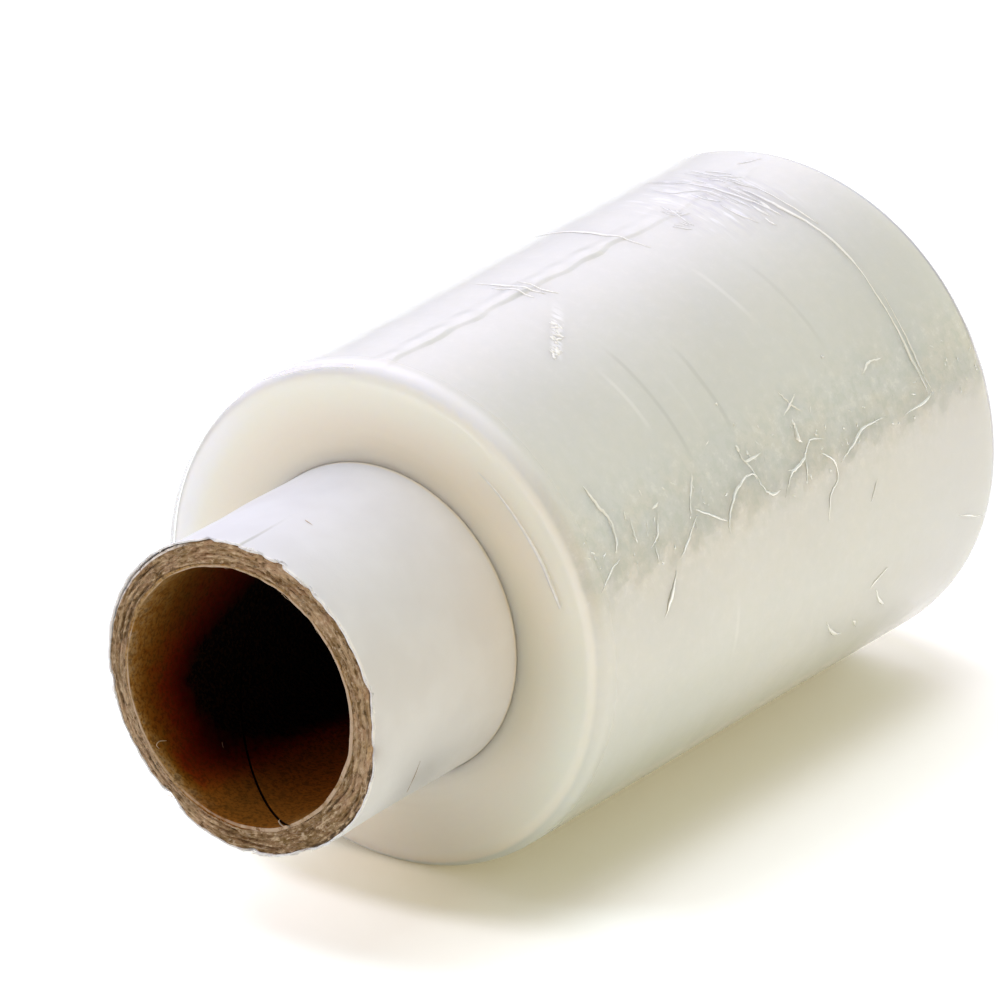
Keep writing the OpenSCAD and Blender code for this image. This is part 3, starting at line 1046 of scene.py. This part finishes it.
# %% The finish of creases, slipped turn and lip
CREASE_LOW = (0.93, 0.915, 0.83)
CREASE_HIGH = (0.99, 0.98, 0.93)
CREASE_SOFT = (0.80, 0.80, 0.80)
CREASE_CLEAR = (0.78, 0.78, 0.85)


def crease_finish(name, clear=1.0, shine=0.5, tint=0.0):
    """clear is how solid it looks, shine how much it mirrors on the side, and tint how cool it is."""
    bench = Bench(name)
    angle, along, _, place = bench.roll_place()
    glint = bench.noise(place, 900.0, 2.0)
    base = bench.blend(glint.between(0.35, 0.65), CREASE_LOW, CREASE_HIGH)
    soft = angle.between(0.30, 0.10) * along.between(NEAR_Y + 58 * MM, NEAR_Y + 66 * MM) * 0.7
    base = bench.blend(soft, base, CREASE_SOFT)
    base = bench.blend(tint, base, CREASE_CLEAR)
    mirror = angle.math("ABSOLUTE").between(0.9, 1.2) * shine
    return bench.finish({"Base Color": base, "Metallic": mirror, "Roughness": 0.22, "IOR": 1.6, "Alpha": clear,
                         "Specular IOR Level": 0.6})


film_creases.data.materials.append(crease_finish("stretch_film_crease"))
slipped.data.materials.append(crease_finish("stretch_film_turn", shine=0.1))
lip.data.materials.append(crease_finish("stretch_film_clear", clear=0.36, shine=0.0, tint=0.3))
print("film materials:", [m.name for m in bpy.data.materials if m.name.startswith("stretch")])

# %% [markdown]
# The board is recycled paper pulp: grey-brown, with pale and dark fibres that lie along the plies. In the cut the
# grooves between plies are darker, because no light gets in, and that comes from the mesh. The torn tips are paler.
# On the upper left, where the cover has come loose, its inner layer has stayed on the board and shows as a pale line.
# On the right the cover and the board have parted, and the shade in that gap is painted as a dark line. Loose fibres
# are paler than the cut. The board is also painted lighter on the left and darker below, as light and shade.

# %% The board's finish
PULP_DARK = (0.29, 0.178, 0.075)
PULP_PALE = (0.53, 0.368, 0.205)
PULP_RED = (0.50, 0.310, 0.185)
PULP_PAINTED_LIGHT_LEFT = (0.66, 0.49, 0.32)
PULP_PAINTED_SHADE_BELOW = (0.18, 0.105, 0.035)
FIBRE_PALE = (0.68, 0.52, 0.33)
FIBRE_DARK = (0.13, 0.075, 0.028)
FIBRE_TIP = (0.82, 0.67, 0.48)
PARTED_GAP_PAINTED_SHADE = (0.09, 0.060, 0.035)
LINING = (0.93, 0.86, 0.77)
FUZZ = (0.66, 0.53, 0.39)


def board_finish(name, pale):
    bench = Bench(name)
    angle, along, radius, place = bench.roll_place()
    strands = bench.noise(bench.vector(angle * 19.0, radius * 1900.0, along * 1500.0), 1.0, 5.0, 0.62)
    plies = bench.noise(bench.vector(angle * 3.0, radius * 1500.0, along * 300.0), 1.0, 2.0)
    blotch = bench.noise(place, 420.0, 2.0)
    specks = bench.noise(place, 1200.0, 4.0, 0.7)
    base = bench.blend(plies.between(0.38, 0.62), PULP_DARK, PULP_PALE)
    base = bench.blend(blotch.between(0.45, 0.62) * 0.5, base, PULP_RED)
    # Painted light on the left of the board
    base = bench.blend((angle + 2.1).math("ABSOLUTE").between(0.9, 0.3) * 0.42, base, PULP_PAINTED_LIGHT_LEFT)
    # Painted shade on the lower part of the board
    low = angle.between(2.0, 2.4) + (angle * -1).between(2.85, 3.05)
    base = bench.blend(low * 0.48, base, PULP_PAINTED_SHADE_BELOW)
    base = bench.blend(strands.between(0.52, 0.64) * 0.8, base, FIBRE_PALE)
    base = bench.blend(strands.between(0.47, 0.35) * 0.85, base, FIBRE_DARK)
    base = bench.blend(specks.between(0.58, 0.70) * 0.5, base, FIBRE_TIP)
    # Painted shade in the gap on the right, where cover and board have parted
    right = (angle - 1.7).math("ABSOLUTE").between(1.5, 1.1)
    parted = radius.between(BOARD_R - 0.36 * MM, BOARD_R - 0.18 * MM) * right
    base = bench.blend(parted * strands.between(0.58, 0.46) * 0.8, base, PARTED_GAP_PAINTED_SHADE)
    upper_left = (angle + 0.96).math("ABSOLUTE").between(0.62, 0.40)
    lining = radius.between(BOARD_R - 0.34 * MM, BOARD_R - 0.24 * MM) * upper_left
    base = bench.blend(lining * strands.between(0.30, 0.42), base, LINING)
    base = bench.blend(pale, base, FUZZ)
    return bench.finish({"Base Color": base, "Roughness": 0.92, "IOR": 1.45, "Specular IOR Level": 0.25,
                         "Normal": bench.bump(strands * 0.7 + specks * 0.5, 0.15 * MM)})


board_tube.data.materials.append(board_finish("chip_board", 0.0))
rim_fibres.data.materials.append(board_finish("board_fibre", 0.55))
print("board finished")

# %% [markdown]
# The liner is smooth brown kraft paper with long darker streaks where the fibres lie round the tube along the spiral.
# Its cut edge at the mouth is pale. Further in, the shade of the deep bore is painted into its colour, first dark red
# and then black, which comes less far forward along the bottom and at the top.

# %% The liner's finish
# Painted shade of the bore: colours from the mouth, at 0, to where it is painted black, at 1
BORE_PAINTED_SHADE_SIDE = ((0.0, (0.47, 0.30, 0.130)), (0.07, (0.38, 0.19, 0.045)), (0.15, (0.29, 0.125, 0.018)),
             (0.25, (0.23, 0.074, 0.006)), (0.5, (0.205, 0.024, 0.003)), (0.75, (0.115, 0.004, 0.001)),
             (1.0, (0.002, 0.0004, 0.0003)))
BORE_PAINTED_SHADE_UNDER = ((0.0, (0.26, 0.095, 0.012)), (0.35, (0.35, 0.105, 0.011)), (0.6, (0.36, 0.074, 0.009)),
              (0.8, (0.26, 0.020, 0.003)), (1.0, (0.004, 0.0004, 0.0003)))
LINER_STREAK = (0.020, 0.005, 0.001)
LINER_MOTTLE = (0.030, 0.012, 0.001)
LINER_GRAIN = (0.050, 0.018, 0.002)
LINER_SEAM = (0.004, 0.002, 0.001)
LINER_EDGE = (0.58, 0.43, 0.29)


def liner_finish():
    bench = Bench("kraft_liner")
    angle, along, radius, place = bench.roll_place()
    depth = along - MOUTH_Y
    lean = depth * (2 * math.pi / SEAM_LEAD)
    streaks = bench.noise(bench.vector((angle - lean) * 40.0, along * 260.0 + angle * 2.4, 0.0), 1.0, 4.0, 0.65)
    mottle = bench.noise(place, 620.0, 4.0, 0.7)
    grain = bench.noise(place, 1900.0, 2.0, 0.6)
    turn = angle.math("ABSOLUTE")
    under = turn.between(2.45, 2.9)
    reach = turn.between(1.9, 1.1) * 0.030 + turn.between(2.13, 2.97) * 0.050 + 0.0132
    left = angle * -1
    band = left.between(2.15, 2.45) * left.between(2.9, 2.6) * depth.between(0.001, 0.004)
    # The bore's shade is painted into its colour, darker with depth from the mouth
    painted_shade_depth = depth / reach + band * 0.40 + (mottle - 0.5) * 0.5
    base = bench.blend(under, bench.node("ShaderNodeValToRGB", {"stops": BORE_PAINTED_SHADE_SIDE}, {"Fac": painted_shade_depth}),
                       bench.node("ShaderNodeValToRGB", {"stops": BORE_PAINTED_SHADE_UNDER}, {"Fac": painted_shade_depth}))
    base = bench.blend(streaks.between(0.50, 0.34) * 0.18, base, LINER_STREAK)
    base = bench.blend(mottle.between(0.50, 0.34) * 0.25, base, LINER_MOTTLE)
    base = bench.blend(grain.between(0.54, 0.38) * 0.50, base, LINER_GRAIN)
    seam = ((angle - lean - SEAM_AT_MOUTH) * 0.5).math("SINE").math("ABSOLUTE").between(0.010, 0.006)
    base = bench.blend(seam, base, LINER_SEAM)
    edge = (1 - along.between(MOUTH_Y + 0.05 * MM, MOUTH_Y + 0.22 * MM)) * mottle.between(0.30, 0.50)
    edge = edge * radius.between(BORE_R + 0.42 * MM, BORE_R + 0.26 * MM)
    base = bench.blend(edge * (1 - left.between(2.0, 2.4) * 0.45), base, LINER_EDGE)
    return bench.finish({"Base Color": base, "Roughness": 0.8, "IOR": 1.45, "Specular IOR Level": 0.12,
                         "Normal": bench.bump(streaks * 0.25 + mottle * 0.5, 0.12 * MM)})


liner_tube.data.materials.append(liner_finish())
print("liner finished")

# %% [markdown]
# The cover is white paper with a slight sheen, smooth but for a fine grain. At the cut its torn edge is fluffed up
# and whiter still, and painted whiter again as a highlight on the lifted edge, with a little of the grey fibre
# inside.
# Where the core goes into the film, a fine warm line of shade is painted on the paper. A little light passes through
# paper, so it scatters light over a short distance.

# %% The cover's finish
PAPER_DIM = (0.738, 0.729, 0.724)
PAPER_WHITE = (0.784, 0.779, 0.777)
PAPER_PAINTED_SHADE_AT_FILM = (0.84, 0.76, 0.61)
PAPER_TORN_AND_HIGHLIGHT = (0.98, 0.955, 0.90)
PAPER_FIBRE = (0.60, 0.53, 0.45)


def cover_finish():
    bench = Bench("white_cover")
    _, along, _, place = bench.roll_place()
    grain = bench.noise(place, 2400.0, 3.0, 0.6)
    cloud = bench.noise(place, 90.0, 3.0)
    white = bench.blend(cloud.between(0.35, 0.7), PAPER_DIM, PAPER_WHITE)
    # A fine warm line of painted shade where the core goes into the film
    white = bench.blend(along.between(NEAR_Y - 0.7 * MM, NEAR_Y), white, PAPER_PAINTED_SHADE_AT_FILM)
    torn = 1 - along.between(MOUTH_Y + 0.25 * MM, MOUTH_Y + 0.70 * MM)
    # The torn edge is whiter, partly as a painted highlight
    base = bench.blend(torn * 0.9, white, PAPER_TORN_AND_HIGHLIGHT)
    base = bench.blend(torn * grain.between(0.56, 0.70) * 0.5, base, PAPER_FIBRE)
    return bench.finish({"Base Color": base, "Roughness": 0.42, "IOR": 1.45, "Specular IOR Level": 0.45,
                         "Subsurface Weight": 0.3, "Subsurface Radius": (1.0, 0.9, 0.8), "Subsurface Scale": 0.001,
                         "Normal": bench.bump(grain, 0.02 * MM)})


cover_sheet.data.materials.append(cover_finish())
cover_wisps.data.materials.append(cover_sheet.data.materials[0])
print("cover finished")

# %% [markdown]
# The roll lies on a white table in a soft-lit studio. The table is a wide plane that keeps the roll's shadow. For the
# camera, and for what gloss and glass show of it, it is lifted by a little emission, and lifted more outside an oval
# round the roll, so that the shadow stays close and the rest is plain white. The table's far edge is the horizon that
# the glossy film reflects: white table below, the dimmer room above.

# %% The table
TABLE_HALF = 4.0
TABLE_COLOUR = (0.845, 0.90, 0.87)
TABLE_LIFT = (0.166, 0.128, 0.070)
TABLE_LIFT_OUTSIDE = (0.29, 0.285, 0.325)
# The oval's half width, and how far it runs past the film's near and far end
OVAL = (38 * MM, 14 * MM, 11 * MM)


def make_table():
    h = TABLE_HALF
    drop = -0.02 * MM
    corners = np.array([(-h, -h, drop), (h, -h, drop), (h, h, drop), (-h, h, drop)])
    table = add_object("table", corners, [(0, 1, 2, 3)], smooth=False)
    bench = Bench("table_white")
    rays = bench.tree.nodes.new("ShaderNodeLightPath")
    seen = Wire(bench, rays.outputs["Is Camera Ray"])
    for ray in ("Is Glossy Ray", "Is Transmission Ray"):
        seen = seen.math("MAXIMUM", Wire(bench, rays.outputs[ray]))
    place = bench.node("ShaderNodeNewGeometry", out="Position")
    split = bench.tree.nodes.new("ShaderNodeSeparateXYZ")
    bench.feed(split.inputs[0], place)
    x, y = Wire(bench, split.outputs["X"]), Wire(bench, split.outputs["Y"])
    aside = x * (1 / OVAL[0])
    before = (NEAR_Y - y).math("MAXIMUM", 0.0) * (1 / OVAL[1])
    behind = (y - FAR_Y).math("MAXIMUM", 0.0) * (1 / OVAL[2])
    outside = (aside * aside + before * before + behind * behind).math("SQRT").between(0.62, 1.12)
    total = bench.node("ShaderNodeBsdfDiffuse", None, {"Color": TABLE_COLOUR})
    for colour, strength in ((TABLE_LIFT, seen), (TABLE_LIFT_OUTSIDE, seen * outside)):
        lift = bench.node("ShaderNodeEmission", None, {"Color": colour, "Strength": strength})
        total = bench.node("ShaderNodeAddShader", None, {"Shader": total, "Shader_001": lift})
    bench.node("ShaderNodeOutputMaterial", None, {"Surface": total})
    table.data.materials.append(bench.material)


make_table()
print("table set")

# %% [markdown]
# The light is soft and comes mainly from overhead, a little to the left, with a fill from the front on the left and a
# warm one from the right. The room itself is a plain world, the sum of five soft patches: pale high on the left, and
# dim near the horizon. A sum of round patches can be set one by one, and it has no hard edge that the glossy film
# would show. For the same reason the lamps are kept out of reflections.

# %% Lights and room
def softbox(name, at, size, watts, colour):
    lamp = bpy.data.lights.new(name, "AREA")
    lamp.shape = "RECTANGLE"
    lamp.size, lamp.size_y = size
    lamp.energy = watts
    lamp.color = colour
    obj = bpy.data.objects.new(name, lamp)
    obj.location = at
    target = np.array([0, 0, AXIS_Z])
    away = np.array(at) - target
    pitch = math.acos(away[2] / np.linalg.norm(away))
    obj.rotation_euler = (pitch, 0, math.atan2(away[1], away[0]) + math.pi / 2)
    obj.visible_glossy = False
    bpy.context.scene.collection.objects.link(obj)


softbox("overhead", (0.0, 0.0, 1.6), (0.8, 0.8), 5.8, (0.83, 0.93, 1.0))
softbox("overhead_left", (-0.5, -0.5, 1.5), (0.6, 0.6), 8.2, (0.70, 0.87, 1.0))
softbox("fill", (-0.9, -1.4, 0.8), (0.9, 0.7), 8.7, (1.0, 0.81, 0.82))
softbox("right", (1.4, -0.2, 0.4), (0.8, 0.5), 8.9, (1.0, 0.78, 0.48))
# Patches of the room: compass angle from +Y towards +X, height above the horizon, narrowness and colour
ROOM = (
    (300, 42, 6, (2.00, 1.74, 2.08)),
    (340, 28, 10, (0.32, 0.35, 0.38)),
    (320, 8, 10, (0.60, 0.60, 0.61)),
    (25, 38, 8, (0.44, 0.48, 0.41)),
    (45, 14, 12, (0.45, 0.61, 0.68)),
)


def make_room():
    bench = Bench("room", "worlds")
    bpy.context.scene.world = bench.material
    place = bench.node("ShaderNodeTexCoord", out="Generated")
    total = None
    for compass, height, narrow, colour in ROOM:
        axis = (math.cos(height * DEG) * math.sin(compass * DEG), math.cos(height * DEG) * math.cos(compass * DEG),
                math.sin(height * DEG))
        toward = bench.node("ShaderNodeVectorMath", {"operation": "DOT_PRODUCT"},
                            {"Vector": place, "Vector_001": axis}, out="Value")
        shine = bench.node("ShaderNodeBackground", None,
                           {"Color": colour, "Strength": ((toward - 1) * narrow).math("EXPONENT")})
        total = shine if total is None else bench.node("ShaderNodeAddShader", None,
                                                       {"Shader": total, "Shader_001": shine})
    bench.node("ShaderNodeOutputWorld", None, {"Surface": total})


make_room()
bpy.context.scene.view_settings.view_transform = "Standard"

# %% [markdown]
# The picture was taken from far off with a long lens, from the handle's end, to the right of it and from above. The
# camera's place comes from fitting the roll's true sizes to the outlines in the photograph.

# %% The camera
CAMERA_AT = (1.06506, -1.48008, 0.84354)
CAMERA_TURN = 35.846 * DEG
CAMERA_DOWN = 23.685 * DEG
CAMERA_LENS = 502.5
camera = bpy.data.objects.new("camera", bpy.data.cameras.new("camera"))
camera.data.sensor_width = 36.0
camera.data.lens = CAMERA_LENS
camera.data.clip_end = 50.0
camera.location = CAMERA_AT
camera.rotation_euler = (math.pi / 2 - CAMERA_DOWN, 0, CAMERA_TURN)
bpy.context.scene.collection.objects.link(camera)
bpy.context.scene.camera = camera
print("camera at", camera.location[:])
